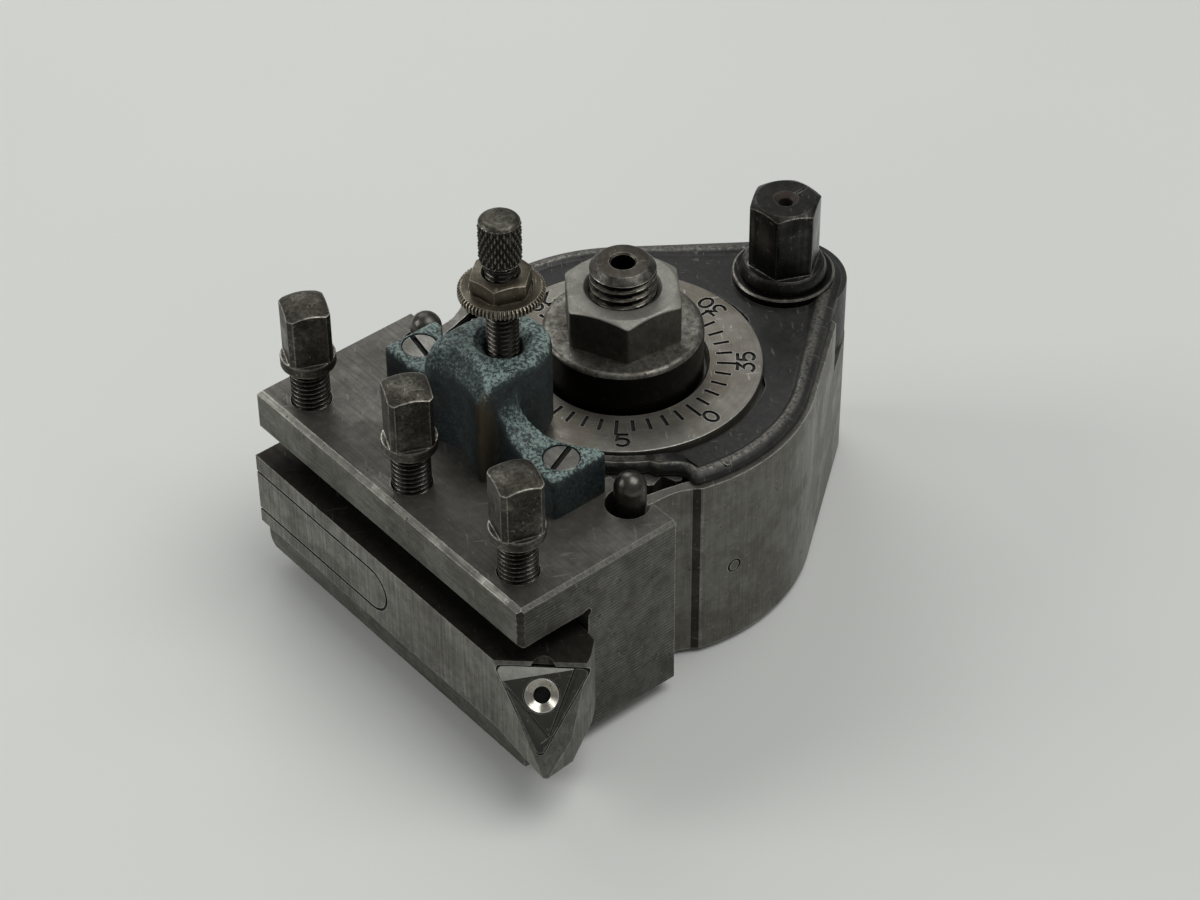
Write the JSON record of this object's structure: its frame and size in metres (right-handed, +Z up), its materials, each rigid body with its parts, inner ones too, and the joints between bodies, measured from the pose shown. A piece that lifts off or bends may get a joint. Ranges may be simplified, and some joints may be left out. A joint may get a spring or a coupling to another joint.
{
  "type": "quick-change lathe tool post",
  "caption": "Toothed round core with a degree dial, clamped by a teardrop strap and an eccentric, holding a slotted tool block with a square-shank turning tool.",
  "frame": {"origin": "centre of the core's base, where it stands on the lathe's slide", "axes": "+Z up along the core and its centre stud, +Y from the core to the clamping eccentric, +X along the turning tool towards its cutting end"},
  "size_m": [0.086, 0.1115, 0.0879],
  "materials": {
    "toothed_steel": "machined, oiled",
    "satin_dial": "satin with turned lines",
    "threaded_steel": "dark oxidised thread",
    "blackened_steel": "blackened, worn at the edges",
    "bright_steel": "bright, smooth",
    "strap_steel": "satin with upright grain",
    "pin_steel": "smooth",
    "bush_steel": "turned",
    "black_paint": "semi-gloss paint, chipped to steel at the rim",
    "ground_steel": "milled and ground, worn",
    "bracket_enamel": "old enamel over a casting, worn ridges",
    "screw_steel": "dark, worn at the corners",
    "lock_steel": "warm grey, oxidised",
    "tool_steel": "phosphated, scratched",
    "carbide": "sintered, semi-gloss"
  },
  "bodies": {
    "core": {"core_body": "toothed_steel", "dial_ring": "satin_dial", "centre_stud": "threaded_steel", "thrust_collar": "blackened_steel", "stud_nut": "bright_steel", "pressure_block": "toothed_steel"},
    "clamp": {"clamp_strap": "strap_steel", "strap_pin_left": "pin_steel", "strap_pin_right": "pin_steel", "top_cover": "black_paint", "base_plate": "strap_steel", "cover_rivets": "pin_steel", "strap_dowels": "pin_steel", "upper_bush": "bush_steel", "lower_bush": "bush_steel"},
    "eccentric": {"eccentric_shaft": "blackened_steel", "retaining_ring": "blackened_steel"},
    "holder": {"holder_block": "ground_steel", "height_bracket": "bracket_enamel", "bracket_screw_left": "pin_steel", "bracket_screw_right": "pin_steel"},
    "screw_left": {"clamp_screw_left": "screw_steel"},
    "screw_middle": {"clamp_screw_middle": "screw_steel"},
    "screw_right": {"clamp_screw_right": "screw_steel"},
    "height_screw": {"height_screw": "screw_steel"},
    "lock_nut": {"lock_nut": "lock_steel"},
    "tool": {"tool_shank": "tool_steel", "insert_shim": "tool_steel", "cutting_insert": "carbide", "insert_screw": "bright_steel"}
  },
  "joints": [
    {"name": "eccentric_turn", "type": "hinge", "parent": "clamp", "child": "eccentric", "pos_m": [0, 0.0391, 0.04], "axis": [0, 0, 1], "range_deg": [0, 100]},
    {"name": "clamp_travel", "type": "slide", "parent": "core", "child": "clamp", "axis": [0, 1, 0], "range_m": [-0.0008, 0]},
    {"name": "holder_lift", "type": "slide", "parent": "core", "child": "holder", "axis": [0, 0, 1], "range_m": [0, 0.045]},
    {"name": "screw_left_travel", "type": "slide", "parent": "holder", "child": "screw_left", "axis": [0, 0, 1], "range_m": [0, 0.008]},
    {"name": "screw_middle_travel", "type": "slide", "parent": "holder", "child": "screw_middle", "axis": [0, 0, 1], "range_m": [0, 0.008]},
    {"name": "screw_right_travel", "type": "slide", "parent": "holder", "child": "screw_right", "axis": [0, 0, 1], "range_m": [0, 0.008]},
    {"name": "height_screw_travel", "type": "slide", "parent": "holder", "child": "height_screw", "axis": [0, 0, 1], "range_m": [0, 0.01]},
    {"name": "lock_nut_travel", "type": "slide", "parent": "height_screw", "child": "lock_nut", "axis": [0, 0, 1], "range_m": [-0.0095, 0]},
    {"name": "tool_overhang", "type": "slide", "parent": "holder", "child": "tool", "axis": [1, 0, 0], "range_m": [-0.006, 0.02]}
  ],
  "couplings": [
    {"joint": "eccentric_turn", "follows": "clamp_travel", "rad_per_m": -2181.6}
  ]
}
